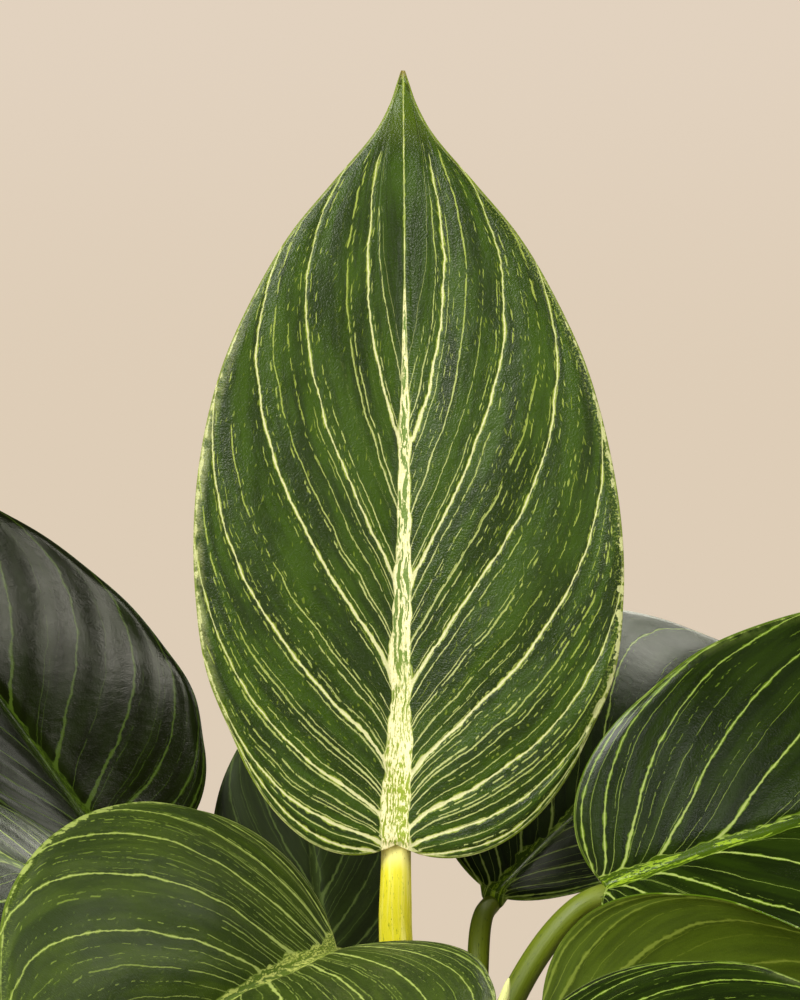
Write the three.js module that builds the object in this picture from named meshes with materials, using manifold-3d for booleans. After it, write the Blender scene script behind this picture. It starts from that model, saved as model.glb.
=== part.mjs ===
// Potted birkin philodendron: a plain tapered pot filled with soil, a short stem that stands in a hole in
// the soil, fourteen heart-based leaves on round stalks and one rolled new leaf. Millimetres, +Z up, with
// the origin at the middle of the pot's underside. The tallest leaf turns its upper face towards -Y.
// Each leaf is a stalk and a blade, because the stalk is yellow green and the blade is dark green.
import * as THREE from "three";
import { mergeVertices } from "three/addons/utils/BufferGeometryUtils.js";
import Module from "manifold-3d";

// Driving dimensions
const POT_HEIGHT = 122;
const POT_TOP_RADIUS = 65;
const POT_FOOT_RADIUS = 47;
const POT_WALL = 4.5;
const POT_FLOOR = 5;
const POT_SIDES = 56;
const SOIL_TOP = 110;
const SOIL_MOUND = 3;
const SOIL_UNEVEN = 1;
const SOIL_SIDES = 40;
const STEM_FOOT = 86;
const STEM_TOP = 153;
const STEM_RADIUS = 8.5;
const STEM_SIDES = 16;
const CLEARANCE = 0.3;
const BLADE_THICKNESS = 0.7;
const BLADE_ROWS = 9;
const TALL_BLADE_ROWS = 12;
const VEIN_PLACES = [0, 0.06, 0.14, 0.28, 0.5, 0.75, 1];
const STALK_SIDES = 8;
const STALK_STEPS = 9;
const STALK_SWELL = 1.35;
const STALK_GAP = 1.15;
const STALK_ROOT_RADIUS = 3;
const NEW_LEAF_RADIUS = 2.8;
const NEW_LEAF_SIDES = 10;

// Half the blade's width at places along it, both as shares of its length, from the widest part of the
// base lobe to the drawn-out tip.
const MARGIN = [
  [0.125, 0.222],
  [0.22, 0.262],
  [0.32, 0.276],
  [0.42, 0.2755],
  [0.52, 0.262],
  [0.62, 0.235],
  [0.71, 0.195],
  [0.79, 0.148],
  [0.86, 0.091],
  [0.92, 0.039],
  [0.96, 0.014],
  [1, 0],
];
const LOBE_END = 0.125;
const LAST_VEIN_START = 0.76;

// The leaves. base: where the blade meets its stalk. heading: the way the blade points, seen from above,
// in degrees from +X towards +Y. rise: how far it points up. roll: how far it leans over on its right
// side. arch: how much its midrib bends down to the tip. fold and curl: how far its [right, left] half
// stands up from the midrib and bends back down at the margin. broad: width against the common outline.
// lean: extra width of the right lobe. sway: the midrib's sideways bow, as a share of the length.
// stalk: the height, heading and rise with which it leaves the stem, how far it keeps that direction, how
// far it comes in along the blade's direction, and its radius.
const LEAVES = [
  {
    base: [-5, 10, 218], heading: 80, rise: 87, roll: 10, length: 150, broad: 1, arch: 6,
    fold: [8, 8], curl: [6, 6], lean: 0.08, sway: 0.006,
    stalk: { from: 150, heading: 105, rise: 71, out: 60, back: 22, radius: 3.4 },
  },
  {
    base: [-15, -54, 210], heading: -104, rise: 4, roll: -34, length: 144, broad: 1, arch: 16,
    fold: [33, 46], curl: [32, 23], lean: 0.01, sway: 0.009,
    stalk: { from: 141, heading: -108, rise: 42, out: 39, back: 18, radius: 2.7 },
  },
  {
    base: [-63, 34, 213], heading: 131, rise: 38, roll: 4, length: 150, broad: 1.02, arch: 8,
    fold: [17, 20], curl: [-2, 10], lean: 0, sway: 0,
    stalk: { from: 134, heading: 153, rise: 52, out: 15, back: 25, radius: 2.7 },
  },
  {
    base: [-59, -12, 211], heading: 209, rise: 27, roll: -10, length: 140, broad: 1, arch: 18,
    fold: [13, -18], curl: [9, 10], lean: 0, sway: 0,
    stalk: { from: 145, heading: -168, rise: 42, out: 45, back: 18, radius: 2.6 },
  },
  {
    base: [-19, 45, 182], heading: 100, rise: 55, roll: 25, length: 75, broad: 1.07, arch: 0,
    fold: [9, -6], curl: [14, 22], lean: 0, sway: 0,
    stalk: { from: 140, heading: 110, rise: 42, out: 8, back: 21, radius: 1.7 },
  },
  {
    base: [15, 38, 204], heading: 55, rise: 24, roll: 25, length: 145, broad: 1, arch: 23,
    fold: [33, 35], curl: [9, 8], lean: 0, sway: 0,
    stalk: { from: 131, heading: 55, rise: 66, out: 60, back: 11, radius: 2.3 },
  },
  {
    base: [35, -1, 212], heading: -6, rise: 22, roll: 50, length: 140, broad: 1, arch: 35,
    fold: [20, 35], curl: [10, 5], lean: 0, sway: 0,
    stalk: { from: 121, heading: 6, rise: 88, out: 57, back: 12, radius: 2.6 },
  },
  {
    base: [23, -16, 187], heading: -22, rise: -13, roll: -44, length: 147, broad: 1.12, arch: 25,
    fold: [57, 25], curl: [44, 10], lean: 0, sway: 0,
    stalk: { from: 115, heading: -61, rise: 47, out: 37, back: 30, radius: 2.7 },
  },
  {
    base: [16, -68, 191], heading: -58, rise: -2, roll: 26, length: 138, broad: 0.97, arch: 26,
    fold: [20, 29], curl: [10, 18], lean: 0, sway: 0,
    stalk: { from: 128, heading: -96, rise: 50, out: 57, back: 21, radius: 2.6 },
  },
  {
    base: [-30, -36, 166], heading: -142, rise: 2, roll: 4, length: 122, broad: 0.98, arch: 42,
    fold: [22, 22], curl: [12, 12], lean: 0.02, sway: 0.012,
    stalk: { from: 124, heading: -135, rise: 42, out: 40, back: 16, radius: 2.3 },
  },
  {
    base: [6, 52, 160], heading: 88, rise: 2, roll: -4, length: 126, broad: 1, arch: 45,
    fold: [20, 20], curl: [10, 10], lean: -0.02, sway: -0.01,
    stalk: { from: 127, heading: 89, rise: 42, out: 8, back: 12, radius: 2.3 },
  },
  {
    base: [-42, 24, 160], heading: 158, rise: 4, roll: 6, length: 116, broad: 1, arch: 40,
    fold: [24, 24], curl: [10, 10], lean: 0, sway: 0.01,
    stalk: { from: 125, heading: 148, rise: 42, out: 18, back: 14, radius: 2.2 },
  },
  {
    base: [40, 28, 160], heading: 28, rise: 2, roll: -5, length: 118, broad: 0.98, arch: 42,
    fold: [22, 22], curl: [12, 12], lean: 0.02, sway: 0.01,
    stalk: { from: 128, heading: 35, rise: 42, out: 37, back: 8, radius: 2.2 },
  },
  {
    base: [2, -50, 150], heading: -86, rise: -6, roll: 3, length: 104, broad: 1, arch: 30,
    fold: [24, 24], curl: [10, 10], lean: 0, sway: -0.01,
    stalk: { from: 116, heading: -106, rise: 43, out: 47, back: 20, radius: 2.1 },
  },
];

const MATERIALS = {
  blade: { color: 0x28461f, roughness: 0.38 },
  stalk: { color: 0x8a9a35, roughness: 0.45 },
  tallStalk: { color: 0xd6cf45, roughness: 0.45 },
  stem: { color: 0x5d7030, roughness: 0.6 },
  newLeaf: { color: 0xa9b548, roughness: 0.45 },
  soil: { color: 0x35261c, roughness: 1 },
  pot: { color: 0xd8cbb6, roughness: 0.7 },
};

const { degToRad, lerp, clamp } = THREE.MathUtils;
const wasm = await Module();
wasm.setup();

// Directions and solids
function direction(heading, rise) {
  return new THREE.Vector3(
    Math.cos(degToRad(rise)) * Math.cos(degToRad(heading)),
    Math.cos(degToRad(rise)) * Math.sin(degToRad(heading)),
    Math.sin(degToRad(rise)),
  );
}

function toSolid(geometry) {
  const bare = geometry.clone();
  bare.deleteAttribute("normal");
  bare.deleteAttribute("uv");
  const merged = mergeVertices(bare, 1e-4);
  return new wasm.Manifold(
    new wasm.Mesh({
      numProp: 3,
      vertProperties: merged.attributes.position.array,
      triVerts: new Uint32Array(merged.index.array),
    }),
  );
}

function fromSolid(solid) {
  const mesh = solid.getMesh();
  const geometry = new THREE.BufferGeometry();
  geometry.setAttribute("position", new THREE.BufferAttribute(mesh.vertProperties, 3));
  geometry.setIndex(new THREE.BufferAttribute(mesh.triVerts, 1));
  geometry.computeVertexNormals();
  return geometry;
}

function cut(geometry, tool) {
  return fromSolid(toSolid(geometry).subtract(toSolid(tool)));
}

// Blades
function smoothAt(points, x) {
  const last = points.length - 1;
  const slope = (i) => {
    const before = points[Math.max(i - 1, 0)];
    const after = points[Math.min(i + 1, last)];
    return (after[1] - before[1]) / (after[0] - before[0]);
  };
  let i = 0;
  while (i < last - 1 && x > points[i + 1][0]) i += 1;
  const span = points[i + 1][0] - points[i][0];
  const u = (x - points[i][0]) / span;
  return (
    (2 * u ** 3 - 3 * u ** 2 + 1) * points[i][1] +
    (u ** 3 - 2 * u ** 2 + u) * span * slope(i) +
    (3 * u ** 2 - 2 * u ** 3) * points[i + 1][1] +
    (u ** 3 - u ** 2) * span * slope(i + 1)
  );
}

function halfWidth(along, lean) {
  return smoothAt(MARGIN, clamp(along, LOBE_END, 1)) * (1 + lean * Math.max(0, 1 - along / 0.55));
}

// The flat half blade is ruled by side veins: t runs from the vein along the base lobe (0) to the one at
// the tip (1), and s runs along a vein from the midrib (0) to the margin (1). A vein is a cubic Bezier
// curve that leaves the midrib at an angle and swings forward to meet the margin almost along it.
function veinPlace(t, s, lean) {
  const start = new THREE.Vector2(0, LAST_VEIN_START * (0.05 * t + 0.95 * t ** 2.5));
  const along = lerp(LOBE_END, 1, Math.sin((Math.PI / 2) * t) ** 1.35);
  const end = new THREE.Vector2(halfWidth(along, lean), along);
  const before = Math.max(along - 0.001, LOBE_END);
  const after = Math.min(along + 0.001, 1);
  const marginWay = new THREE.Vector2(halfWidth(after, lean) - halfWidth(before, lean), after - before);
  const turn = degToRad(9 * Math.min(1, 6 * t)) * Math.min(1, 5 * (1 - t));
  marginWay.normalize().rotateAround(new THREE.Vector2(), -turn);
  const leaving = degToRad(Math.sqrt(1 - t) * (52 + 56 * (1 - t) ** 3));
  const chord = start.distanceTo(end);
  const near = new THREE.Vector2(Math.sin(leaving), Math.cos(leaving))
    .multiplyScalar(chord * (0.42 - 0.1 * t))
    .add(start);
  const far = marginWay.multiplyScalar(-0.4 * chord).add(end);
  return new THREE.CubicBezierCurve(start, near, far, end).getPoint(s);
}

function leafFrame(leaf) {
  const forward = direction(leaf.heading, leaf.rise);
  const right = direction(leaf.heading - 90, 0).applyAxisAngle(forward, degToRad(leaf.roll));
  const up = new THREE.Vector3().crossVectors(right, forward);
  return { forward, right, up };
}

// The place, the way out of the upper face and the midrib's own upward way at (across, along), shares of
// the length. The midrib is an arc, and each half is an arc across it that starts at the fold angle.
function bladePlace(leaf, side, across, along) {
  const { forward, right, up } = leafFrame(leaf);
  const arch = degToRad(Math.max(leaf.arch, 0.01));
  const bend = arch * along;
  const half = side > 0 ? 0 : 1;
  const open = 1 - 0.5 * clamp(along, 0, 1);
  const fold = degToRad(leaf.fold[half]) * open;
  const curl = degToRad(leaf.curl[half] || 0.01) / 0.28;
  const reach = across * leaf.broad;
  const tilt = fold - curl * reach;
  const out = (Math.sin(fold) - Math.sin(tilt)) / curl;
  const lift = (Math.cos(tilt) - Math.cos(fold)) / curl;
  const bow = leaf.sway * Math.sin(Math.PI * clamp(along, 0, 1));
  const midribUp = up.clone().applyAxisAngle(right, -bend);
  const place = new THREE.Vector3(...leaf.base)
    .addScaledVector(forward, (leaf.length * Math.sin(bend)) / arch)
    .addScaledVector(up, (-leaf.length * (1 - Math.cos(bend))) / arch)
    .addScaledVector(right, leaf.length * (side * out + bow))
    .addScaledVector(midribUp, leaf.length * lift);
  const normal = midribUp
    .clone()
    .multiplyScalar(Math.cos(tilt))
    .addScaledVector(right, -side * Math.sin(tilt));
  return { place, normal, midribUp };
}

// The midrib stands out of the underside as a half-round rib as thick as the stalk at the base.
function ribDepth(leaf, across, along) {
  const left = clamp(1 - along, 0, 1);
  const deepest = (1.8 * leaf.stalk.radius - BLADE_THICKNESS) * left ** 1.2;
  const halfRib = leaf.stalk.radius * left ** 0.8 + 0.6;
  const offset = (across * leaf.length) / halfRib;
  return deepest * Math.sqrt(Math.max(0, 1 - offset ** 2));
}

// A closed blade from an upper and a lower sheet with the same triangles, joined round the margin.
function closeSheets(upper, lower, triangles) {
  const count = upper.length;
  const edges = new Set();
  for (const [a, b, c] of triangles) {
    for (const [from, to] of [[a, b], [b, c], [c, a]]) {
      if (!edges.delete(to + "," + from)) edges.add(from + "," + to);
    }
  }
  const index = triangles.flatMap(([a, b, c]) => [a, b, c, a + count, c + count, b + count]);
  for (const edge of edges) {
    const [from, to] = edge.split(",").map(Number);
    index.push(to, from, from + count, to, from + count, to + count);
  }
  const geometry = new THREE.BufferGeometry().setFromPoints([...upper, ...lower]);
  geometry.setIndex(index);
  geometry.computeVertexNormals();
  return geometry;
}

function bladeGeometry(leaf, rows) {
  const upper = [];
  const lower = [];
  const known = new Map();
  const vertex = (side, i, j) => {
    const onMidrib = i === rows || j === 0;
    const key = (onMidrib ? 0 : side) + "," + i + "," + j;
    if (!known.has(key)) {
      const flat = veinPlace(i / rows, VEIN_PLACES[j], side * leaf.lean);
      const across = onMidrib ? 0 : flat.x;
      const { place, normal, midribUp } = bladePlace(leaf, side, across, flat.y);
      const under = place
        .clone()
        .addScaledVector(onMidrib ? midribUp : normal, -BLADE_THICKNESS)
        .addScaledVector(midribUp, -ribDepth(leaf, across, flat.y));
      known.set(key, upper.length);
      upper.push(place);
      lower.push(under);
    }
    return known.get(key);
  };
  const triangles = [];
  for (const side of [1, -1]) {
    for (let i = 0; i < rows; i += 1) {
      for (let j = 0; j < VEIN_PLACES.length - 1; j += 1) {
        const ring = [[i, j], [i, j + 1], [i + 1, j + 1], [i + 1, j]];
        if (side < 0) ring.reverse();
        const [a, b, c, d] = ring.map(([row, column]) => vertex(side, row, column));
        triangles.push([a, b, c], [a, c, d]);
      }
    }
  }
  return closeSheets(upper, lower, triangles);
}

// Stalks
function stalkPath(leaf) {
  const { stalk } = leaf;
  const { forward, up } = leafFrame(leaf);
  const root = direction(stalk.heading, 0).multiplyScalar(STALK_ROOT_RADIUS).setZ(stalk.from);
  const leaving = direction(stalk.heading, stalk.rise).multiplyScalar(stalk.out).add(root);
  const top = new THREE.Vector3(...leaf.base)
    .addScaledVector(up, -0.9 * stalk.radius)
    .addScaledVector(forward, -STALK_GAP);
  const arriving = top.clone().addScaledVector(forward, -stalk.back);
  return new THREE.CubicBezierCurve3(root, leaving, arriving, top);
}

// A round rod along a path, whose radius at a share u of the path is radius * widthAt(u).
function rodGeometry(path, radius, sides, steps, widthAt) {
  const section = new THREE.Shape().absarc(0, 0, radius, 0, 2 * Math.PI);
  const rod = new THREE.ExtrudeGeometry(section, { steps, extrudePath: path, curveSegments: sides });
  const middle = path.getSpacedPoints(steps);
  const position = rod.attributes.position;
  const point = new THREE.Vector3();
  for (let k = 0; k < position.count; k += 1) {
    point.fromBufferAttribute(position, k);
    const distances = middle.map((centre) => centre.distanceTo(point));
    const ring = distances.indexOf(Math.min(...distances));
    point.sub(middle[ring]).multiplyScalar(widthAt(ring / steps)).add(middle[ring]);
    position.setXYZ(k, point.x, point.y, point.z);
  }
  return rod;
}

function stalkGeometry(leaf, stemSpace) {
  const swell = (u) => lerp(STALK_SWELL, 1, Math.min(1, 3 * u));
  const rod = rodGeometry(stalkPath(leaf), leaf.stalk.radius, STALK_SIDES, STALK_STEPS, swell);
  return cut(rod, stemSpace);
}

function newLeafGeometry(stemSpace) {
  const path = new THREE.CubicBezierCurve3(
    new THREE.Vector3(2.5, -4.5, 149),
    new THREE.Vector3(4, -8, 166),
    new THREE.Vector3(13, -9, 178),
    new THREE.Vector3(17, -9, 194),
  );
  const taper = (u) => Math.max(0.1, Math.cos((Math.PI / 2) * u) ** 0.7);
  return cut(rodGeometry(path, NEW_LEAF_RADIUS, NEW_LEAF_SIDES, STALK_STEPS, taper), stemSpace);
}

// Stem, soil and pot
function latheZ(profile, sides) {
  const points = profile.map(([radius, height]) => new THREE.Vector2(radius, height));
  return new THREE.LatheGeometry(points, sides).rotateX(Math.PI / 2);
}

function stemGeometry(grow) {
  const profile = [
    [0, STEM_FOOT - grow],
    [STEM_RADIUS - 1 + grow, STEM_FOOT - grow],
    [STEM_RADIUS + grow, STEM_FOOT + 12],
    [STEM_RADIUS + grow, SOIL_TOP + 12],
    [STEM_RADIUS - 0.5 + grow, STEM_TOP - 20],
    [STEM_RADIUS - 1.5 + grow, STEM_TOP - 5],
    [STEM_RADIUS - 4.5 + grow, STEM_TOP - 1 + grow],
    [0, STEM_TOP + grow],
  ];
  return latheZ(profile, STEM_SIDES);
}

function potInsideRadius(height) {
  const share = height / POT_HEIGHT;
  return lerp(POT_FOOT_RADIUS, POT_TOP_RADIUS, share) - POT_WALL;
}

function potGeometry() {
  const profile = [
    [0, 0],
    [POT_FOOT_RADIUS - 2, 0],
    [POT_FOOT_RADIUS, 2],
    [POT_TOP_RADIUS - 0.3, POT_HEIGHT - 2],
    [POT_TOP_RADIUS - 1, POT_HEIGHT - 0.5],
    [POT_TOP_RADIUS - 2.2, POT_HEIGHT],
    [potInsideRadius(POT_HEIGHT) + 0.8, POT_HEIGHT - 0.6],
    [potInsideRadius(POT_HEIGHT - 3), POT_HEIGHT - 3],
    [potInsideRadius(POT_FLOOR + 3), POT_FLOOR + 3],
    [potInsideRadius(POT_FLOOR) - 3, POT_FLOOR],
    [0, POT_FLOOR],
  ];
  return latheZ(profile, POT_SIDES);
}

function soilGeometry() {
  const rim = potInsideRadius(SOIL_TOP) - CLEARANCE;
  const hole = STEM_RADIUS + CLEARANCE;
  const profile = [
    [0, POT_FLOOR + CLEARANCE],
    [potInsideRadius(POT_FLOOR) - 3.3, POT_FLOOR + CLEARANCE],
    [potInsideRadius(POT_FLOOR + 3) - CLEARANCE, POT_FLOOR + 3 + CLEARANCE],
    [rim, SOIL_TOP],
    [0.8 * rim, SOIL_TOP],
    [0.6 * rim, SOIL_TOP + 0.35 * SOIL_MOUND],
    [0.4 * rim, SOIL_TOP + 0.75 * SOIL_MOUND],
    [hole, SOIL_TOP + SOIL_MOUND],
    [hole, STEM_FOOT - CLEARANCE],
    [0, STEM_FOOT - CLEARANCE],
  ];
  const soil = latheZ(profile, SOIL_SIDES);
  const position = soil.attributes.position;
  for (let k = 0; k < position.count; k += 1) {
    const x = position.getX(k);
    const y = position.getY(k);
    const bump = Math.sin(0.31 * x + 0.9) * Math.cos(0.27 * y) + 0.6 * Math.sin(0.55 * y - 0.4 * x);
    const onTop = position.getZ(k) > SOIL_TOP - 0.1 && Math.hypot(x, y) < 0.9 * rim;
    if (onTop) position.setZ(k, position.getZ(k) + SOIL_UNEVEN * bump);
  }
  return soil;
}

// Assembly
const plant = new THREE.Group();

function add(name, geometry, look) {
  const mesh = new THREE.Mesh(geometry, new THREE.MeshStandardMaterial(look));
  mesh.name = name;
  plant.add(mesh);
}

const stemSpace = stemGeometry(CLEARANCE);
add("pot", potGeometry(), MATERIALS.pot);
add("soil", soilGeometry(), MATERIALS.soil);
add("stem", stemGeometry(0), MATERIALS.stem);
add("new_leaf", newLeafGeometry(stemSpace), MATERIALS.newLeaf);
LEAVES.forEach((leaf, k) => {
  const number = String(k + 1).padStart(2, "0");
  const tallest = k === 0;
  add("blade_" + number, bladeGeometry(leaf, tallest ? TALL_BLADE_ROWS : BLADE_ROWS), MATERIALS.blade);
  add("stalk_" + number, stalkGeometry(leaf, stemSpace), tallest ? MATERIALS.tallStalk : MATERIALS.stalk);
});

export default plant;
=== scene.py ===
"""The looks of a potted birkin philodendron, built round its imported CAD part.

Lengths are in millimetres until a mesh is made, with +Z up and the origin at the middle of the pot's foot.
"""

import math
from functools import reduce

import bpy
import numpy as np
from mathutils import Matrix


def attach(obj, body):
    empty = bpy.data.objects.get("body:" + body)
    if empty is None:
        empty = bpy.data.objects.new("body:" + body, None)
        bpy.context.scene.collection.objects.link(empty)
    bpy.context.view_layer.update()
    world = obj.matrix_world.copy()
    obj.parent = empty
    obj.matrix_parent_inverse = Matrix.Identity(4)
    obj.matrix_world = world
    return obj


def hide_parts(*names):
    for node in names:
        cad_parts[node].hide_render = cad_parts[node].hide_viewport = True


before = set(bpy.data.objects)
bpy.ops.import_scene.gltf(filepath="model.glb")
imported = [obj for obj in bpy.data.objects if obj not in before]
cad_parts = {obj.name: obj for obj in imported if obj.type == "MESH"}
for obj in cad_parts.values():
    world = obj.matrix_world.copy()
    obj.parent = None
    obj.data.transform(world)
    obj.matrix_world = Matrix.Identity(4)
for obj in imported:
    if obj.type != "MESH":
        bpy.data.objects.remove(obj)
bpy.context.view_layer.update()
MM = 0.001

# The leaves, with the part's own values. base: where the blade meets its stalk. heading, rise and roll: the
# way the blade points. arch: how far its midrib bends down. fold and curl: how far its [right, left] half
# stands up and bends back. stalk: height, heading, rise, reach along them, reach along the blade, radius.
FIELDS = "base heading rise roll length broad arch fold curl lean sway stalk".split()
LEAF_ROWS = (
    ((-5, 10, 218), 80, 87, 10, 150, 1, 6, (8, 8), (6, 6), 0.08, 0.006, (150, 105, 71, 60, 22, 3.4)),
    ((-15, -54, 210), -104, 4, -34, 144, 1, 16, (33, 46), (32, 23), 0.01, 0.009, (141, -108, 42, 39, 18, 2.7)),
    ((-63, 34, 213), 131, 38, 4, 150, 1.02, 8, (17, 20), (-2, 10), 0, 0, (134, 153, 52, 15, 25, 2.7)),
    ((-59, -12, 211), 209, 27, -10, 140, 1, 18, (13, -18), (9, 10), 0, 0, (145, -168, 42, 45, 18, 2.6)),
    ((-19, 45, 182), 100, 55, 25, 75, 1.07, 0, (9, -6), (14, 22), 0, 0, (140, 110, 42, 8, 21, 1.7)),
    ((15, 38, 204), 55, 24, 25, 145, 1, 23, (33, 35), (9, 8), 0, 0, (131, 55, 66, 60, 11, 2.3)),
    ((35, -1, 212), -6, 22, 50, 140, 1, 35, (20, 35), (10, 5), 0, 0, (121, 6, 88, 57, 12, 2.6)),
    ((23, -16, 187), -22, -13, -44, 147, 1.12, 25, (57, 25), (44, 10), 0, 0, (115, -61, 47, 37, 30, 2.7)),
    ((16, -68, 191), -58, -2, 26, 138, 0.97, 26, (20, 29), (10, 18), 0, 0, (128, -96, 50, 57, 21, 2.6)),
    ((-30, -36, 166), -142, 2, 4, 122, 0.98, 42, (22, 22), (12, 12), 0.02, 0.012, (124, -135, 42, 40, 16, 2.3)),
    ((6, 52, 160), 88, 2, -4, 126, 1, 45, (20, 20), (10, 10), -0.02, -0.01, (127, 89, 42, 8, 12, 2.3)),
    ((-42, 24, 160), 158, 4, 6, 116, 1, 40, (24, 24), (10, 10), 0, 0.01, (125, 148, 42, 18, 14, 2.2)),
    ((40, 28, 160), 28, 2, -5, 118, 0.98, 42, (22, 22), (12, 12), 0.02, 0.01, (128, 35, 42, 37, 8, 2.2)),
    ((2, -50, 150), -86, -6, 3, 104, 1, 30, (24, 24), (10, 10), 0, -0.01, (116, -106, 43, 47, 20, 2.1)),
)
LEAVES = [dict(zip(FIELDS, row)) for row in LEAF_ROWS]

# Half the blade's width at places along it, both as shares of its length.
MARGIN = np.array((
    (0.125, 0.222), (0.22, 0.262), (0.32, 0.276), (0.42, 0.2755), (0.52, 0.262), (0.62, 0.235), (0.71, 0.195),
    (0.79, 0.148), (0.86, 0.091), (0.92, 0.0405), (0.96, 0.0165), (0.985, 0.0068), (1, 0.0016),
))

# Where the bold side veins of the [right, left] half start, from the base lobe (0) to the tip (1).
TALL_VEINS = ((0.03, 0.135, 0.245, 0.405, 0.575, 0.705, 0.84), (0.05, 0.14, 0.275, 0.43, 0.59, 0.707, 0.845))
COMMON_VEINS = ((0.03, 0.13, 0.25, 0.38, 0.52, 0.66, 0.82), (0.04, 0.15, 0.26, 0.40, 0.53, 0.68, 0.84))

# Shares of a blade's length: where the base lobe ends, where the lean ends, and half the greatest width.
LOBE_END = 0.125
LEAN_END = 0.55
WIDEST_HALF = 0.28

BLADE_THICKNESS = 0.7
STALK_GAP = 1.15
STALK_ROOT_RADIUS = 3
POT_FOOT, POT_FLARE, POT_HEIGHT, POT_WALL = 47, 18, 122, 4.5
SOIL_LEVEL = 110
STEM_HOLE = 8.8

# The pale band along the midrib: half its width at the base, and the share of the blade at which it ends.
MIDRIB_HALF = 2.75
MIDRIB_REACH = 0.74

# What the markings read at each corner of a blade.
MARKS = ("vein", "place", "leaf")

# The width of a blade's bake map, with the upper face on its left half and the lower one on its right.
BAKE_SPAN = 210


# Arrays and meshes
def unit(vectors):
    return vectors / np.maximum(np.linalg.norm(vectors, axis=-1, keepdims=True), 1e-9)


def ease(low, high, value):
    """0 below low, 1 above high, and a smooth step between them."""
    share = np.clip((value - low) / (high - low), 0, 1)
    return share * share * (3 - 2 * share)


def ripple(x, y, wave, seed):
    """A calm uneven surface from about -1 to 1: four sine waves in seeded directions, about wave long."""
    chance = np.random.default_rng(seed)
    total = 0
    for _ in range(4):
        turn, start, stretch = chance.uniform(0, (2 * np.pi, 2 * np.pi, 1))
        length = wave * (0.7 + 0.7 * stretch)
        total = total + np.sin((x * np.cos(turn) + y * np.sin(turn)) * 2 * np.pi / length + start)
    return total / 2.6


def full_turn(count):
    """Angles at even steps all the way round."""
    return np.linspace(0, 2 * np.pi, count, endpoint=False)


def direction(heading, rise):
    heading, rise = np.radians(heading), np.radians(rise)
    return np.array([np.cos(rise) * np.cos(heading), np.cos(rise) * np.sin(heading), np.sin(rise)])


def grid_faces(ids):
    """The four-sided faces between the rows and columns of a grid of vertex numbers."""
    return np.stack([ids[:-1, :-1], ids[:-1, 1:], ids[1:, 1:], ids[1:, :-1]], -1).reshape(-1, 4)


def volume(points, faces):
    """Six times the volume that the faces close, below zero where they point inwards."""
    total = 0
    for ring in faces:
        for k in range(1, ring.shape[1] - 1):
            wedge = np.cross(points[ring[:, k]], points[ring[:, k + 1]])
            total += np.einsum("ij,ij->", points[ring[:, 0]], wedge)
    return total


def add_object(name, data):
    made = bpy.data.objects.new(name, data)
    bpy.context.scene.collection.objects.link(made)
    return made


def make_piece(name, points, faces, looks, which=None, marks=None):
    """A mesh object from points in millimetres and a list of arrays of faces, turned to point outwards.
    which gives each array its place in looks. A mark is a list of values at the corners of each array of
    faces, or one array of values at the points. Two values make a UV map, and three an attribute."""
    marks = {
        key: [values[ring] for ring in faces] if isinstance(values, np.ndarray) else values
        for key, values in (marks or {}).items()
    }
    if volume(points, faces) < 0:
        faces = [ring[:, ::-1] for ring in faces]
        marks = {key: [part[:, ::-1] for part in parts] for key, parts in marks.items()}
    mesh = bpy.data.meshes.new(name)
    counts = np.concatenate([np.full(len(ring), ring.shape[1]) for ring in faces])
    corners = np.concatenate([ring.ravel() for ring in faces])
    slots = np.concatenate([np.full(len(ring), slot) for ring, slot in zip(faces, which or [0] * len(faces))])
    mesh.vertices.add(len(points))
    mesh.vertices.foreach_set("co", (points * MM).astype(np.float32).ravel())
    mesh.loops.add(len(corners))
    mesh.loops.foreach_set("vertex_index", corners.astype(np.int32))
    mesh.polygons.add(len(counts))
    mesh.polygons.foreach_set("loop_start", (np.cumsum(counts) - counts).astype(np.int32))
    mesh.polygons.foreach_set("material_index", slots.astype(np.int32))
    mesh.polygons.foreach_set("use_smooth", np.ones(len(counts), bool))
    mesh.update(calc_edges=True)
    for key, parts in marks.items():
        values = np.concatenate([part.reshape(-1, part.shape[-1]) for part in parts]).astype(np.float32)
        if values.shape[1] == 2:
            mesh.uv_layers.new(name=key).data.foreach_set("uv", values.ravel())
        else:
            mesh.attributes.new(key, "FLOAT_VECTOR", "CORNER").data.foreach_set("vector", values.ravel())
    for look in looks:
        mesh.materials.append(look)
    return add_object(name, mesh)


def place_piece(piece, node):
    """The piece moves with the plant and stands for the CAD node, which is hidden."""
    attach(piece, "root")
    if node:
        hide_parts(node)


def close_rings(rings):
    """Points and faces of a body given as rings of points, rows by sides, closed by a fan at each end."""
    rows, sides = rings.shape[:2]
    ids = np.arange(rows * sides).reshape(rows, sides)
    points = np.concatenate([rings.reshape(-1, 3), rings[:1].mean(1), rings[-1:].mean(1)])
    start, end = np.full(sides, rows * sides), np.full(sides, rows * sides + 1)
    fans = [
        np.stack([start, np.roll(ids[0], -1), ids[0]], -1),
        np.stack([end, ids[-1], np.roll(ids[-1], -1)], -1),
    ]
    return points, [grid_faces(np.concatenate([ids, ids[:, :1]], 1)), np.concatenate(fans)]


def curve_through(corners, count):
    """Points at even steps of u along the Bezier curve with these four corners."""
    u = np.linspace(0, 1, count)[:, None]
    a, b, c, d = np.asarray(corners, float)
    return (1 - u) ** 3 * a + 3 * u * (1 - u) ** 2 * b + 3 * u * u * (1 - u) * c + u**3 * d


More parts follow.
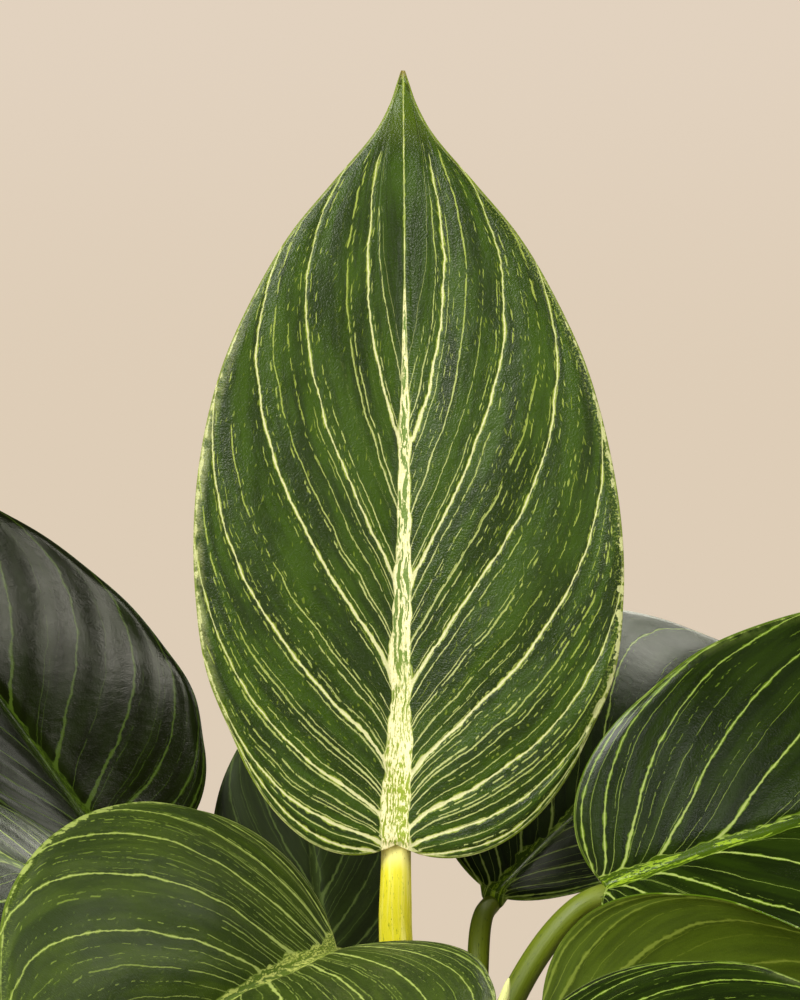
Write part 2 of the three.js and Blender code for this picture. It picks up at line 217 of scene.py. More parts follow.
def carry(path, up, angle, radius):
    """Rings round a path: at each point, radius (rows by sides) is measured at the angle, counted from the
    side way towards up, square to the path."""
    tangent = unit(np.gradient(path, axis=0))
    side = unit(np.cross(tangent, up))[:, None]
    top = np.cross(side[:, 0], tangent)[:, None]
    angle = angle[..., None]
    return path[:, None] + radius[..., None] * (side * np.cos(angle) + top * np.sin(angle))


# Shader wiring
def paint(red, green, blue):
    """A colour as seen on screen (0 to 255), as the light values that a shader takes."""
    share = np.array([red, green, blue]) / 255
    light = np.where(share <= 0.04045, share / 12.92, ((share + 0.055) / 1.055) ** 2.4)
    return (*light.tolist(), 1)


class Wiring:
    """Places nodes in one tree. An input given as a socket is linked, and any other value is set on it."""

    def __init__(self, tree):
        self.tree = tree

    def put(self, socket, value):
        if isinstance(value, bpy.types.NodeSocket):
            self.tree.links.new(value, socket)
        else:
            socket.default_value = value

    def node(self, kind, inputs=None, **settings):
        made = self.tree.nodes.new("ShaderNode" + kind)
        for name, value in settings.items():
            setattr(made, name, value)
        for name, value in (inputs or {}).items():
            self.put(made.inputs[name], value)
        return made

    def math(self, operation, *values, clamp=False):
        made = self.node("Math", dict(enumerate(values)), operation=operation, use_clamp=clamp)
        return made.outputs[0]

    def plus(self, *values):
        return reduce(lambda total, value: self.math("ADD", total, value), values)

    def times(self, *values):
        return reduce(lambda total, value: self.math("MULTIPLY", total, value), values)

    def most(self, *values):
        return reduce(lambda total, value: self.math("MAXIMUM", total, value), values)

    def minus(self, whole, part, clamp=False):
        return self.math("SUBTRACT", whole, part, clamp=clamp)

    def over(self, whole, part):
        return self.math("DIVIDE", whole, part)

    def line(self, value, low, high, start=0.0, end=1.0, kind="LINEAR"):
        """A straight change from start to end as value goes from low to high."""
        names = ("Value", "From Min", "From Max", "To Min", "To Max")
        inputs = dict(zip(names, (value, low, high, start, end)))
        return self.node("MapRange", inputs, interpolation_type=kind).outputs[0]

    def step(self, *values):
        """The same with a smooth beginning and end."""
        return self.line(*values, kind="SMOOTHSTEP")

    def mix(self, factor, a, b):
        """A mix of two colours, each a socket or its red, green and blue as seen on screen."""
        a, b = (paint(*colour) if isinstance(colour, tuple) else colour for colour in (a, b))
        return self.node("Mix", {0: factor, 6: a, 7: b}, data_type="RGBA").outputs[2]

    def noise(self, vector, scale, detail=2.0, rough=0.5, flat=True):
        inputs = {"Vector": vector, "Scale": scale, "Detail": detail, "Roughness": rough}
        return self.node("TexNoise", inputs, noise_dimensions="2D" if flat else "3D").outputs[0]

    def vector(self, x=0.0, y=0.0, z=0.0):
        return self.node("CombineXYZ", {0: x, 1: y, 2: z}).outputs[0]

    def parts(self, vector):
        return self.node("SeparateXYZ", {0: vector}).outputs

    def stretch(self, vector, scale):
        return self.node("VectorMath", {0: vector, 1: scale}, operation="MULTIPLY").outputs[0]

    def chance(self, vector):
        """Three random values for each whole-numbered place."""
        colour = self.node("TexWhiteNoise", {"Vector": vector}, noise_dimensions="3D").outputs["Color"]
        return self.node("SeparateColor", {0: colour}).outputs

    def attribute(self, name):
        return self.node("Attribute", attribute_name=name).outputs["Vector"]

    def millimetres(self):
        """The place in the plant's own frame."""
        return self.stretch(self.node("TexCoord").outputs["Object"], (1 / MM, 1 / MM, 1 / MM))

    def group(self, name, inputs):
        return self.node("Group", inputs, node_tree=GROUPS[name]).outputs

    def finish(self, colour, roughness, height, depth, gloss=0.5):
        """Sets the shader's colour, roughness, gloss and bump, whose depth is in millimetres."""
        bump = self.node("Bump", {"Height": height, "Distance": depth * MM, "Strength": 1.0}).outputs[0]
        values = {"Base Color": colour, "Roughness": roughness, "Specular IOR Level": gloss, "Normal": bump}
        for name, value in values.items():
            self.put(self.tree.nodes["Principled BSDF"].inputs[name], value)


def make_group(name, inputs, outputs):
    """An empty shader group, its wiring, its inputs and its outputs."""
    tree = bpy.data.node_groups.new(name, "ShaderNodeTree")
    for label, value in inputs.items():
        kind = "NodeSocketVector" if isinstance(value, tuple) else "NodeSocketFloat"
        socket = tree.interface.new_socket(label, in_out="INPUT", socket_type=kind)
        socket.default_value = value
    for label in outputs:
        tree.interface.new_socket(label, in_out="OUTPUT", socket_type="NodeSocketFloat")
    w = Wiring(tree)
    return tree, w, tree.nodes.new("NodeGroupInput").outputs, tree.nodes.new("NodeGroupOutput").inputs


def make_look(name):
    """A new material and its wiring."""
    look = bpy.data.materials.new(name)
    look.use_nodes = True
    return look, Wiring(look.node_tree)


# Shader groups of the blades. Lane counts the bold veins, Breadth is the width of a lane and Run the way
# along the vein from the midrib, both in millimetres.
def vein_lines_group():
    """Fine lines that run with the veins, Per Lane of them between two bold veins, each at its own place in
    its lane and with its own width. They are whole near the midrib and break up into dashes towards Reach."""
    tree, w, given, out = make_group(
        "fine vein lines",
        {"Lane": 0.0, "Breadth": 1.0, "Run": 0.0, "Seed": 0.0, "Per Lane": 5.0, "Half Width": 0.12,
         "Share": 0.8, "Reach": 40.0, "Beads": 0.3, "Spread": 0.28},
        ["Mask"],
    )
    cell = w.times(given["Lane"], given["Per Lane"])
    index = w.math("FLOOR", cell)
    chance = w.chance(w.vector(index, given["Seed"], given["Per Lane"]))
    centre = w.plus(0.5, w.times(w.line(chance[0], 0, 1, -1.0, 1.0), given["Spread"]))
    offset = w.math("ABSOLUTE", w.minus(w.math("FRACT", cell), centre))
    spacing = w.over(given["Breadth"], given["Per Lane"])
    own = w.plus(w.times(index, 3.7), w.times(given["Seed"], 11.3))
    beads = w.noise(w.vector(own, w.times(given["Run"], given["Beads"])), 1.0, 2.0, 0.6)
    uneven = w.line(beads, 0.38, 0.62, 0.65, 1.2)
    width = w.times(given["Half Width"], uneven, w.line(chance[1], 0, 1, 0.6, 1.35))
    mask = w.step(w.minus(w.times(offset, spacing), width), -0.07, 0.08, 1.0, 0.0)
    reach = w.times(given["Reach"], w.line(chance[2], 0, 1, 0.35, 1.5))
    bias = w.line(w.over(given["Run"], reach), 0.0, 1.0, 0.24, -0.05)
    on = w.step(w.plus(beads, bias), 0.47, 0.53)
    share = w.times(given["Share"], w.step(spacing, 0.7, 2.0))
    present = w.math("LESS_THAN", w.math("FRACT", w.times(chance[0], 7.31)), share)
    w.put(out["Mask"], w.times(mask, on, present))
    return tree


def midrib_group():
    """The pale band along the midrib. Edge is how far a place lies outside it in millimetres: its half width
    shrinks to nothing at MIDRIB_REACH. Flecks lie in its lower part, and long green islands between its two
    edge strands further up, or all along it where Islands says so. The fourth output is a thin painted
    highlight along the midrib above it, where its groove would catch the light."""
    tree, w, given, out = make_group(
        "midrib band",
        {"Across": 0.0, "Forward": 0.0, "Along": 0.0, "Seed": 0.0, "Half Width": MIDRIB_HALF, "Islands": 0.0},
        ["Edge", "Gaps", "Core", "Groove Highlight"],
    )
    forward, along = given["Forward"], given["Along"]
    left = w.minus(1.0, w.over(along, MIDRIB_REACH), clamp=True)
    foot = w.times(w.math("EXPONENT", w.times(forward, -0.16)), 0.1)
    half = w.plus(w.times(given["Half Width"], w.plus(w.math("POWER", left, 0.95), foot)), 0.03)
    across = w.math("ABSOLUTE", given["Across"])
    shifted = w.plus(given["Across"], w.times(given["Seed"], 40.0))
    ragged = w.noise(w.vector(w.times(shifted, 0.25), w.times(forward, 0.16)), 1.0, 2.0, 0.55)
    uneven = w.times(w.minus(ragged, 0.5), w.plus(half, 0.2))
    uneven = w.times(uneven, w.line(given["Islands"], 0.0, 0.2, 0.9, 2.6))
    w.put(out["Edge"], w.plus(w.minus(across, half), uneven))
    weave = w.times(w.minus(w.noise(w.vector(0.0, forward), 0.12, 1.0), 0.5), 2.4)
    woven = w.times(w.plus(shifted, weave), 1.3)
    islands = w.noise(w.vector(woven, w.times(forward, 0.13)), 1.0, 3.0, 0.6)
    flecks = w.noise(w.vector(w.times(shifted, 3.4), w.times(forward, 0.8)), 1.0, 2.0, 0.6)
    patches = w.noise(w.vector(w.times(shifted, 0.35), w.times(forward, 0.07)), 1.0, 1.0)
    share = w.over(across, half)
    inner = w.step(share, 0.95, 0.35)
    high = w.step(along, 0.08, 0.3)
    more = w.plus(w.times(inner, w.line(high, 0, 1, -0.04, 0.12)), given["Islands"])
    frayed = w.plus(islands, w.times(w.minus(flecks, 0.5), 0.35))
    island = w.step(w.plus(frayed, more), 0.55, 0.62)
    dense = w.plus(w.times(inner, 0.09), w.line(patches, 0.35, 0.65, -0.08, 0.08))
    fleck = w.times(w.step(w.plus(flecks, dense), 0.55, 0.62), w.line(high, 0, 1, 1.0, 0.5))
    w.put(out["Gaps"], w.most(island, fleck, w.times(inner, flecks, 0.25)))
    w.put(out["Core"], w.times(island, w.math("MAXIMUM", high, w.times(given["Islands"], 5.0), clamp=True)))
    # a thin painted highlight along the midrib's upper part, broken by the flecks, where the groove would catch
    # the light
    groove_highlight = w.times(w.step(across, 0.3, 0.05), w.step(along, 0.4, 0.6), w.step(along, 1.0, 0.93))
    w.put(out["Groove Highlight"], w.times(groove_highlight, w.step(flecks, 0.4, 0.58)))
    return tree


def marks_group():
    """All the markings of a blade. Pale is the midrib's whitish band, Cream the core of veins and margin,
    Lime the yellow-green round and between them, Core the midrib's green. Ridge is high along a bold vein.
    Cream and Lime also carry the painted sheen on the left margin, and Lime the painted highlight on the
    midrib."""
    tree, w, given, out = make_group(
        "birkin markings",
        {"Vein": (0.0, 0.0, 0.0), "Place": (0.0, 0.0, 0.0), "Leaf": (0.0, 0.0, 0.0), "Bold": 1.0, "Fine": 1.0,
         "Flecks": 1.0, "Band": 1.0, "Rim": 1.0, "Islands": 0.0},
        ["Pale", "Cream", "Lime", "Core", "Ridge"],
    )
    lane, breadth, run = w.parts(given["Vein"])
    x, y, rim = w.parts(given["Place"])
    along, seed, side = w.parts(given["Leaf"])
    place = w.vector(w.plus(x, w.times(seed, 300.0)), y)
    mirrored = w.plus(seed, w.times(side, 17.0))
    # the veins wander a little, and bend down along the midrib before they join it
    slow, quick = w.noise(place, 0.11, 1.0), w.noise(place, 0.7, 2.0, 0.7)
    wander = w.plus(w.times(w.minus(slow, 0.5), 1.5), w.times(w.minus(quick, 0.5), 0.45))
    lane = w.plus(lane, w.over(wander, w.plus(breadth, 4.0)))
    left = w.minus(1.0, w.over(along, MIDRIB_REACH), clamp=True)
    beside = w.minus(w.math("ABSOLUTE", x), w.times(left, given["Band"], MIDRIB_HALF))
    pull = w.times(w.math("EXPONENT", w.times(w.most(beside, 0.0), -0.35)), left, left, 2.4)
    lane = w.plus(lane, w.over(pull, w.plus(breadth, 1.0)))
    # bold veins, which run into the midrib's band with a smooth bend on either side
    nearest = w.math("MINIMUM", w.math("ROUND", lane), 6.0)
    own = w.chance(w.vector(nearest, seed, side))
    distance = w.times(w.math("ABSOLUTE", w.minus(lane, nearest)), breadth)
    course = w.vector(w.plus(w.times(nearest, 5.3), w.times(mirrored, 7.7)), w.times(run, 0.4))
    streak = w.noise(course, 1.0, 2.0, 0.6)
    flare = w.times(w.math("EXPONENT", w.times(run, -0.085)), w.line(left, 0.3, 1.0, 0.18, 0.5))
    width = w.times(w.plus(0.09, w.times(own[0], 0.08), flare), w.line(streak, 0.3, 0.7, 0.6, 1.35),
                    w.line(rim, 0, 12, 0.45, 1.0), given["Bold"], w.step(breadth, 0.4, 2.5, 0.5, 1.0),
                    w.step(along, 0.98, 0.6, 0.3, 1.0))
    tip = w.step(along, 0.95, 0.88)
    ended = w.plus(w.step(lane, 6.35, 6.6, 0.0, 3.0), w.step(tip, 1.0, 0.0, 0.0, 1.0))
    outside = w.plus(w.minus(distance, width), ended)
    band = w.group("midrib", {"Across": x, "Forward": y, "Along": along, "Seed": seed,
                              "Islands": given["Islands"], "Half Width": w.times(given["Band"], MIDRIB_HALF)})
    joined = w.math("SMOOTH_MIN", band["Edge"], outside, 1.2)
    bold = w.step(joined, -0.1, 0.1, 1.0, 0.0)
    halo = w.step(w.minus(joined, w.line(streak, 0.38, 0.66, 0.03, 0.26)), -0.12, 0.12, 1.0, 0.0)
    # lines between them: a long one in each lane, two sets of shorter ones, and dotted ones up to the margin
    roomy = w.step(lane, 6.5, 6.2)
    shared = {"Lane": lane, "Breadth": breadth, "Run": run, "Seed": mirrored}
    fine = given["Fine"]
    broader = w.times(fine, w.line(left, 0.5, 1.0, 1.0, 1.6))

    def lines_between(per_lane, half, reach, share, **more):
        inputs = {**shared, "Per Lane": per_lane, "Half Width": half, "Reach": reach, "Share": share, **more}
        return w.group("lines", inputs)[0]

    middle = lines_between(1.0, w.times(fine, roomy, 0.13), 90.0, 1.0, Spread=0.1, Beads=0.2)
    lines = lines_between(4.0, w.times(broader, 0.08), 48.0, w.times(broader, roomy, 0.75), Beads=0.4)
    thin = lines_between(7.0, w.times(broader, 0.06), 18.0, w.times(fine, roomy, 0.5), Beads=0.5)
    cloud = w.step(w.noise(place, 0.05, 1.0), 0.36, 0.62, 0.4, 1.2)
    dots = lines_between(9.0, 0.05, 1.0, w.times(given["Flecks"], cloud, roomy, 0.5), Beads=0.7)
    dots = w.times(dots, w.step(run, 1.0, 9.0))
    grains = w.noise(w.vector(w.times(lane, 14.0), w.times(run, 0.9), mirrored), 1.0, 0.0, flat=False)
    dust = w.step(grains, 0.72, 0.8)
    # margin
    ragged = w.noise(place, 0.35, 3.0, 0.65)
    right_low = w.times(w.step(side, -0.5, 0.5), w.step(along, 0.62, 0.3), w.step(lane, 0.0, 1.5))
    left_mid = w.times(w.step(side, 0.5, -0.5), w.step(along, 0.75, 0.5), w.step(along, 0.1, 0.3))
    specks = w.step(w.noise(place, 2.1, 2.0, 0.6), 0.54, 0.62)
    specks = w.times(specks, w.step(rim, 2.4, 0.0), w.step(side, -0.5, 0.5, 0.3, 1.0), given["Rim"])
    specks = w.times(specks, w.step(along, 0.9, 0.75), w.step(lane, 0.0, 1.5), given["Flecks"])
    edge_width = w.times(w.line(ragged, 0.44, 0.64, 0.0, 0.5), given["Rim"], w.plus(1.0, right_low),
                         w.step(along, 0.8, 0.45, 0.1, 1.0), w.step(lane, -0.3, 1.6, 0.2, 1.0))
    # the left middle of the margin: partly its own pale colour, partly a painted sheen where the turned-down
    # edge would catch the light
    pale_and_sheen_margin = w.times(left_mid, w.step(rim, 2.4, 0.2), w.step(ragged, 0.3, 0.6), given["Rim"])
    from_edge = w.math("ABSOLUTE", w.minus(rim, 0.3))
    edge = w.step(w.minus(from_edge, edge_width), -0.14, 0.12, 1.0, 0.0)
    thread = w.step(rim, 0.08, 0.25, 1.0, 0.0)
    within = w.step(band["Edge"], -0.16, 0.16, 1.0, 0.0)
    gaps = w.times(band["Gaps"], within)
    solid = w.minus(1.0, gaps)
    w.put(out["Pale"], w.times(w.step(band["Edge"], -0.7, 0.5, 1.0, 0.0), bold, solid))
    far = w.line(run, 0.0, 45.0, 0.6, 0.1)
    longer = w.most(lines, middle)
    cream = w.times(w.most(w.times(thin, far, 0.6), w.times(bold, 0.95), w.times(longer, far)), solid)
    w.put(out["Cream"], w.most(cream, w.times(edge, 0.6), w.times(pale_and_sheen_margin, 0.26), w.times(specks, 0.12)))
    w.put(out["Lime"], w.most(
        w.times(halo, 0.8), w.times(longer, tip, 0.82), w.times(thin, tip, 0.75), w.times(dots, tip, 0.5),
        w.times(dust, given["Flecks"], tip, roomy, 0.35), within, w.times(edge, 0.75), w.times(thread, 0.55),
        # the painted highlight line along the midrib, drawn in lime
        w.times(band["Groove Highlight"], 0.6), w.times(pale_and_sheen_margin, 0.25), w.times(specks, 0.7),
        w.step(tip, 1.0, 0.0, 0.0, 0.1),
    ))
    w.put(out["Core"], w.times(within, band["Core"]))
    w.put(out["Ridge"], w.step(distance, 0.8, 0.0))
    return tree


def leather_group():
    """The blade's fine wrinkles as a height, under a millimetre across, and a slow cloud for its colour."""
    inputs = {"Place": (0.0, 0.0, 0.0), "Seed": 0.0}
    tree, w, given, out = make_group("leaf leather", inputs, ["Height", "Cloud"])
    x, y, _ = w.parts(given["Place"])
    place = w.vector(w.plus(x, w.times(given["Seed"], 170.0)), y)
    fine, broad = w.noise(place, 2.5, 1.5, 0.6), w.noise(place, 0.4, 1.0)
    w.put(out["Height"], w.plus(fine, w.times(broad, 1.2)))
    w.put(out["Cloud"], w.noise(place, 0.06, 2.0, 0.5))
    return tree


GROUPS = {"lines": vein_lines_group(), "midrib": midrib_group()}
GROUPS["marks"] = marks_group()
GROUPS["leather"] = leather_group()


def blade_look(name, pale, cream, lime, dark, bright, core,
               roughness=0.3, wrinkles=0.4, gloss=0.19, ridge=0.25, **amounts):
    """A blade's face: dark and bright green by lane and cloud, its markings, its fine wrinkles and a brown
    tip. Each colour is red, green and blue as seen on screen."""
    look, w = make_look(name)
    vein, place, leaf = (w.attribute(key) for key in MARKS)
    marks = w.group("marks", {"Vein": vein, "Place": place, "Leaf": leaf, **amounts})
    along, seed, _ = w.parts(leaf)
    leather = w.group("leather", {"Place": place, "Seed": seed})
    lane, _, run = w.parts(vein)
    course = w.vector(w.plus(w.times(lane, 3.1), w.times(seed, 9.0)), w.times(run, 0.04))
    lanes = w.noise(course, 1.0, 3.0, 0.6)
    tone = w.step(w.plus(w.times(lanes, 0.8), w.times(leather["Cloud"], 0.2)), 0.36, 0.66)
    tone = w.most(tone, w.step(along, 0.9, 0.97))
    colour = w.mix(tone, dark, bright)
    colour = w.mix(marks["Lime"], colour, lime)
    colour = w.mix(w.times(marks["Core"], 0.85), colour, core)
    colour = w.mix(marks["Cream"], colour, cream)
    colour = w.mix(marks["Pale"], colour, pale)
    colour = w.mix(w.step(along, 0.988, 1.0, 0.0, 0.7), colour, (112, 88, 36))
    uneven = w.line(leather["Cloud"], 0.3, 0.7, roughness - 0.04, roughness + 0.05)
    height = w.plus(w.times(leather["Height"], 0.3), w.times(marks["Ridge"], -ridge))
    w.finish(colour, uneven, height, wrinkles, gloss)
    return look


# Blades
def half_width(along, lean):
    """Cubic curves through the margin's points, each with the slope between its two neighbours. The half is
    wider by the lean at the base, and less so up to LEAN_END, where the change fades out softly."""
    place, width = MARGIN.T
    last = len(place) - 1
    before, after = np.maximum(np.arange(last + 1) - 1, 0), np.minimum(np.arange(last + 1) + 1, last)
    slope = (width[after] - width[before]) / (place[after] - place[before])
    x = np.clip(along, place[0], 1)
    i = np.clip(np.searchsorted(place, x, side="right") - 1, 0, last - 1)
    span = place[i + 1] - place[i]
    u = (x - place[i]) / span
    curve = (
        (2 * u**3 - 3 * u**2 + 1) * width[i]
        + (u**3 - 2 * u**2 + u) * span * slope[i]
        + (3 * u**2 - 2 * u**3) * width[i + 1]
        + (u**3 - u**2) * span * slope[i + 1]
    )
    low = 1 - along / LEAN_END
    return curve * (1 + lean * 0.5 * (low + np.sqrt(low * low + 0.01)))


def flat_half(t, s, lean):
    """Across and along on the flat half blade, which is ruled by side veins. t picks the vein, from the base
    lobe (0) to the tip (1), and s runs along it from the midrib (0) to the margin (1). A vein is a Bezier
    curve that leaves the midrib at an angle and swings forward to meet the margin almost along it."""
    start = 0.76 * (0.05 * t + 0.95 * t**2.5)
    end = LOBE_END + (1 - LOBE_END) * np.sin(np.pi / 2 * t) ** 1.35
    reach = half_width(end, lean)
    before, after = np.maximum(end - 0.001, LOBE_END), np.minimum(end + 0.001, 1)
    way = unit(np.stack([half_width(after, lean) - half_width(before, lean), after - before], -1))
    turn = np.radians(9 * np.minimum(1, 6 * t)) * np.minimum(1, 5 * (1 - t))
    way_x = way[..., 0] * np.cos(turn) + way[..., 1] * np.sin(turn)
    way_y = way[..., 1] * np.cos(turn) - way[..., 0] * np.sin(turn)
    leaving = np.radians(np.sqrt(1 - t) * (52 + 64 * (1 - t) ** 3))
    chord = np.hypot(reach, end - start)
    near, far = chord * (0.42 - 0.1 * t), 0.4 * chord
    a, b, c, d = (1 - s) ** 3, 3 * s * (1 - s) ** 2, 3 * s * s * (1 - s), s**3
    across = b * near * np.sin(leaving) + c * (reach - far * way_x) + d * reach
    along = a * start + b * (start + near * np.cos(leaving)) + c * (end - far * way_y) + d * end
    return across, along


def leaf_frame(leaf):
    """The blade's right, forward and upward ways."""
    forward = direction(leaf["heading"], leaf["rise"])
    level = direction(leaf["heading"] - 90, 0)
    roll = np.radians(leaf["roll"])
    right = level * np.cos(roll) + np.cross(forward, level) * np.sin(roll)
    return right, forward, np.cross(right, forward)


def bend_half(leaf, side, across, along):
    """Where the flat half blade lies in space, the way out of its upper face and the midrib's upward way. The
    midrib is an arc, and each half is an arc across it that starts at the fold angle."""
    right, forward, up = leaf_frame(leaf)
    along = along + 0.007 * ease(0.93, 1, along)
    arch = np.radians(max(leaf["arch"], 0.01))
    turned = (arch * along)[..., None]
    half = 0 if side > 0 else 1
    fold = np.radians(leaf["fold"][half]) * (1 - 0.5 * np.clip(along, 0, 1))
    curl = np.radians(leaf["curl"][half] or 0.01) / WIDEST_HALF
    tilt = fold - curl * across * leaf["broad"]
    out = (np.sin(fold) - np.sin(tilt)) / curl
    lift = (np.cos(tilt) - np.cos(fold)) / curl
    bow = leaf["sway"] * np.sin(np.pi * np.clip(along, 0, 1))
    midrib_up = up * np.cos(turned) + forward * np.sin(turned)
    place = (
        forward * np.sin(turned) / arch
        - up * (1 - np.cos(turned)) / arch
        + right * (side * out + bow)[..., None]
        + midrib_up * lift[..., None]
    )
    normal = midrib_up * np.cos(tilt)[..., None] - right * side * np.sin(tilt)[..., None]
    return np.array(leaf["base"], float) + leaf["length"] * place, normal, midrib_up


def distance_to_line(x, y, line_x, line_y):
    """How far each place (x, y) is from a line through points, in the plane."""
    ax, ay = line_x[:-1], line_y[:-1]
    bx, by = np.diff(line_x), np.diff(line_y)
    px, py = x.ravel()[:, None] - ax, y.ravel()[:, None] - ay
    share = np.clip((px * bx + py * by) / np.maximum(bx * bx + by * by, 1e-12), 0, 1)
    return np.hypot(px - share * bx, py - share * by).min(1).reshape(x.shape)


def half_blade(leaf, side, rows, columns, veins, seed):
    """One half of a blade as grids: rows of t, columns of s. Its upper and lower faces, its normal, its place
    in the flat, and what the markings read. Between bold veins the face swells like a quilt, the midrib lies
    in a shallow groove, the margin turns down a little and waves."""
    t = np.linspace(0, 1, rows)[:, None]
    even = np.linspace(0, 1, columns)[None, :]
    s = 0.25 * even + 0.375 * (1 - np.cos(np.pi * even))
    across, along = flat_half(t, s, side * leaf["lean"])
    across[-1], across[:, 0] = 0, 0
    place, normal, midrib_up = bend_half(leaf, side, across, along)
    size = leaf["length"]
    x, y = across * size * leaf["broad"], along * size
    # lanes between the bold veins, their width and the way along a vein
    knots = np.concatenate([[0], veins, [1]])
    lane = np.interp(t, knots, np.concatenate([[-0.5], np.arange(len(veins) + 1)])) + 0 * s
    run = np.concatenate([0 * x[:, :1], np.hypot(np.diff(x, axis=1), np.diff(y, axis=1)).cumsum(1)], 1)
    next_x, next_y = np.gradient(x, axis=0), np.gradient(y, axis=0)
    way = unit(np.stack([np.gradient(x, axis=1), np.gradient(y, axis=1)], -1))
    lane_step = np.gradient(lane, axis=0)
    breadth = np.maximum(np.abs(next_x * way[..., 1] - next_y * way[..., 0]) / lane_step, 0.02)
    rim_x, rim_y = np.concatenate([x[0], x[1:, -1]]), np.concatenate([y[0], y[1:, -1]])
    rim = distance_to_line(x, y, rim_x, rim_y)
    # relief
    clear = ease(0.02, 0.22, s) * (1 - ease(0.88, 1, s))
    quilt = 0.025 * np.minimum(breadth, 16) * np.sin(np.pi * lane) ** 2 * clear
    radius = leaf["stalk"][5]
    band = 3.3 * radius / 3.4 * np.clip(1 - along / 0.9, 0, 1) ** 0.8 + 0.5
    groove = -0.4 * np.clip(1 - (x / band) ** 2, 0, 1) * ease(1, 0.7, along) * ease(0, 0.07, along)
    turned = -0.5 * np.clip(1 - rim / 2.6, 0, 1) ** 2
    wave = 0.45 * np.clip(1 - rim / 14, 0, 1) ** 2 * ripple(y, 0 * y, 34, seed * 7 + (side > 0))
    uneven = 0.3 * ripple(side * x, y, 46, seed) * ease(0, 6, rim)
    relief = quilt + groove + turned + wave * ease(0, 0.2, t) * ease(1, 0.9, t) + uneven
    upper = place + normal * relief[..., None]
    # underside: thinner at the margin, with the midrib's rib and low ridges under the bold veins
    left = np.clip(1 - along, 0, 1)
    deepest = (1.8 * radius - BLADE_THICKNESS) * left**1.2
    rib = deepest * np.sqrt(np.clip(1 - (x / (radius * left**0.8 + 0.6)) ** 2, 0, 1))
    nearest = np.abs(lane - np.round(lane)) * breadth
    ridge = 0.35 * np.exp(-((nearest / 0.6) ** 2)) * (1 - s) * ease(0, 2, run)
    thick = BLADE_THICKNESS - 0.28 * ease(3, 0, rim)
    lower = upper - normal * (thick + ridge)[..., None] - midrib_up * rib[..., None]
    return {
        "upper": upper, "lower": lower, "normal": normal,
        "flat": np.stack([side * x, y], -1),
        "vein": np.stack([lane, breadth, run], -1),
        "place": np.stack([side * x, y, rim], -1),
        "leaf": np.stack([along, 0 * along + seed, 0 * along + side], -1),
    }


def blade(number, leaf, rows, columns, veins, looks):
    """A closed blade: both halves share the midrib and the line to the tip, the lower sheet mirrors the upper
    one, and two extra rows round the margin's edge. Each corner keeps its own half's markings."""
    halves = [half_blade(leaf, side, rows, columns, veins[k], number) for k, side in enumerate((1, -1))]
    size = rows * columns
    right = np.arange(size).reshape(rows, columns)
    left = right.copy()
    left[:-1, 1:] = size + np.arange((rows - 1) * (columns - 1)).reshape(rows - 1, columns - 1)
    count = size + (rows - 1) * (columns - 1)

    def joined(key):
        return np.concatenate([halves[0][key].reshape(-1, 3), halves[1][key][:-1, 1:].reshape(-1, 3)])

    upper, lower, normal = joined("upper"), joined("lower"), joined("normal")
    local = grid_faces(right)
    edge = np.concatenate([right[0], right[1:, -1]])
    turns = (edge, edge[::-1])
    loop = np.concatenate([right.ravel()[edge], left.ravel()[edge[::-1]][1:-1]])
    around = len(loop)
    tangent = np.roll(upper[loop], -1, 0) - np.roll(upper[loop], 1, 0)
    outwards = unit(np.cross(tangent, normal[loop]))
    rows_of_edge = [loop]
    points = [upper, lower]
    for k, share in enumerate((0.28, 0.72)):
        points.append(upper[loop] + (lower[loop] - upper[loop]) * share + outwards * 0.13)
        rows_of_edge.append(2 * count + k * around + np.arange(around))
    rows_of_edge.append(loop + count)
    faces = [right.ravel()[local], left.ravel()[local][:, ::-1]]
    faces += [faces[0][:, ::-1] + count, faces[1][:, ::-1] + count]
    on_loop = (np.arange(len(edge)), np.append(np.arange(len(edge) - 1, around), 0))
    marks = {key: [] for key in (*MARKS, "OFBake")}
    for under in (0, 1):
        for k, half in enumerate(halves):
            ring = local if k == under else local[:, ::-1]
            for key in MARKS:
                marks[key].append(half[key].reshape(size, 3)[ring])
            flat = half["flat"].reshape(size, 2) + (50 + 100 * under, 10)
            marks["OFBake"].append((flat / BAKE_SPAN)[ring])
    middle = np.array([0, 0.45 * leaf["length"]])
    for row, (above, below) in enumerate(zip(rows_of_edge, rows_of_edge[1:])):
        for half, turn, span in zip(halves, turns, on_loop):
            faces.append(np.stack([above[span[:-1]], below[span[:-1]], below[span[1:]], above[span[1:]]], -1))
            for key in MARKS:
                value = half[key].reshape(size, 3)[turn]
                marks[key].append(np.stack([value[:-1], value[:-1], value[1:], value[1:]], 1))
            flat = half["flat"].reshape(size, 2)[turn]
            near, far = (flat + unit(flat - middle) * 0.6 * (row + k) for k in (0, 1))
            ring = np.stack([near[:-1], far[:-1], far[1:], near[1:]], 1)
            marks["OFBake"].append((ring + (50, 10)) / BAKE_SPAN)
    which = [0, 0, 1, 1] + [0] * (len(faces) - 4)
    piece = make_piece(f"birkin_blade_{number:02d}", np.concatenate(points), faces, looks, which, marks)
    place_piece(piece, f"blade_{number:02d}")


# Stalks, stem and the rolled leaf
def rod_marks(section, angle, run):
    """The place across a rod and along it, at the points of its rings and at the middle of its two ends."""
    grain = np.stack([section * np.cos(angle), section * np.sin(angle), run + 0 * angle], -1).reshape(-1, 3)
    return {"grain": np.concatenate([grain, grain[:1], grain[-1:]])}


